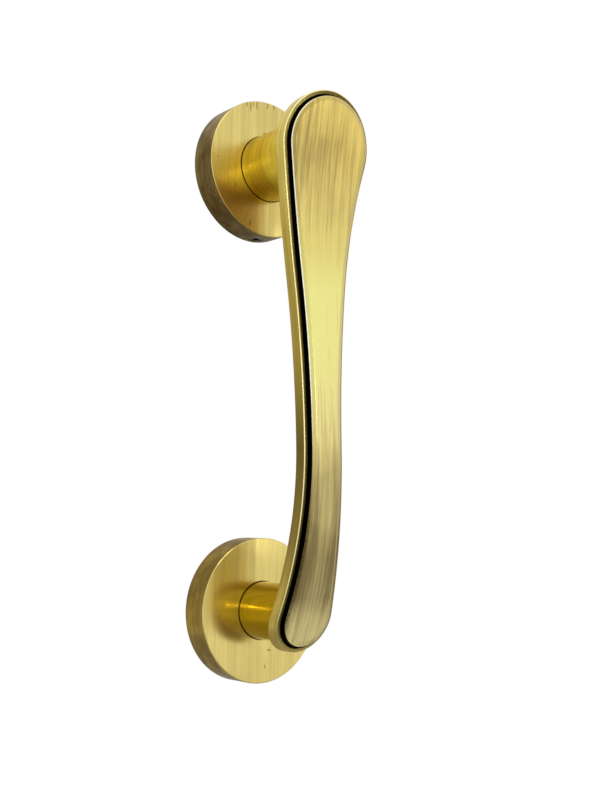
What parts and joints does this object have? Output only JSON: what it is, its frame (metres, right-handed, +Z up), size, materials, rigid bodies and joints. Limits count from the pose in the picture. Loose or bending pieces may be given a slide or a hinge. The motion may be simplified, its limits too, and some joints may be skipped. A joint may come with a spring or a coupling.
{
  "type": "door pull handle",
  "caption": "Bowed spoon shaped brass pull with a rim, dark groove and raised panel, on round posts and round roses that hide the door screws.",
  "frame": {"origin": "on the door's face, midway between the centres of the two roses, which is also the middle of the door screws", "axes": "+Z up along the door, +Y into the door, +X to the right for someone who faces the handle"},
  "size_m": [0.049, 0.0614, 0.204],
  "materials": {
    "grip_brass": "satin, brushed lengthwise, lightly antiqued, near black in the groove",
    "rose_brass": "satin, brushed upright, darker on the wall",
    "post_brass": "polished, fine turning marks",
    "plate_steel": "zinc plated",
    "grub_steel": "black oxide",
    "screw_steel": "bright zinc",
    "washer_steel": "bright zinc",
    "spring_steel": "plain spring steel",
    "wood_screw_steel": "yellow zinc"
  },
  "bodies": {
    "root": {"grip": "grip_brass", "lower_rose": "rose_brass", "lower_post": "post_brass", "lower_mounting_plate": "plate_steel", "lower_grub_screw": "grub_steel", "lower_post_screw": "screw_steel", "lower_plain_washer": "washer_steel", "lower_spring_washer": "spring_steel", "lower_wood_screw_1": "wood_screw_steel", "lower_wood_screw_2": "wood_screw_steel", "upper_rose": "rose_brass", "upper_post": "post_brass", "upper_mounting_plate": "plate_steel", "upper_grub_screw": "grub_steel", "upper_post_screw": "screw_steel", "upper_plain_washer": "washer_steel", "upper_spring_washer": "spring_steel", "upper_wood_screw_1": "wood_screw_steel", "upper_wood_screw_2": "wood_screw_steel"}
  },
  "joints": []
}
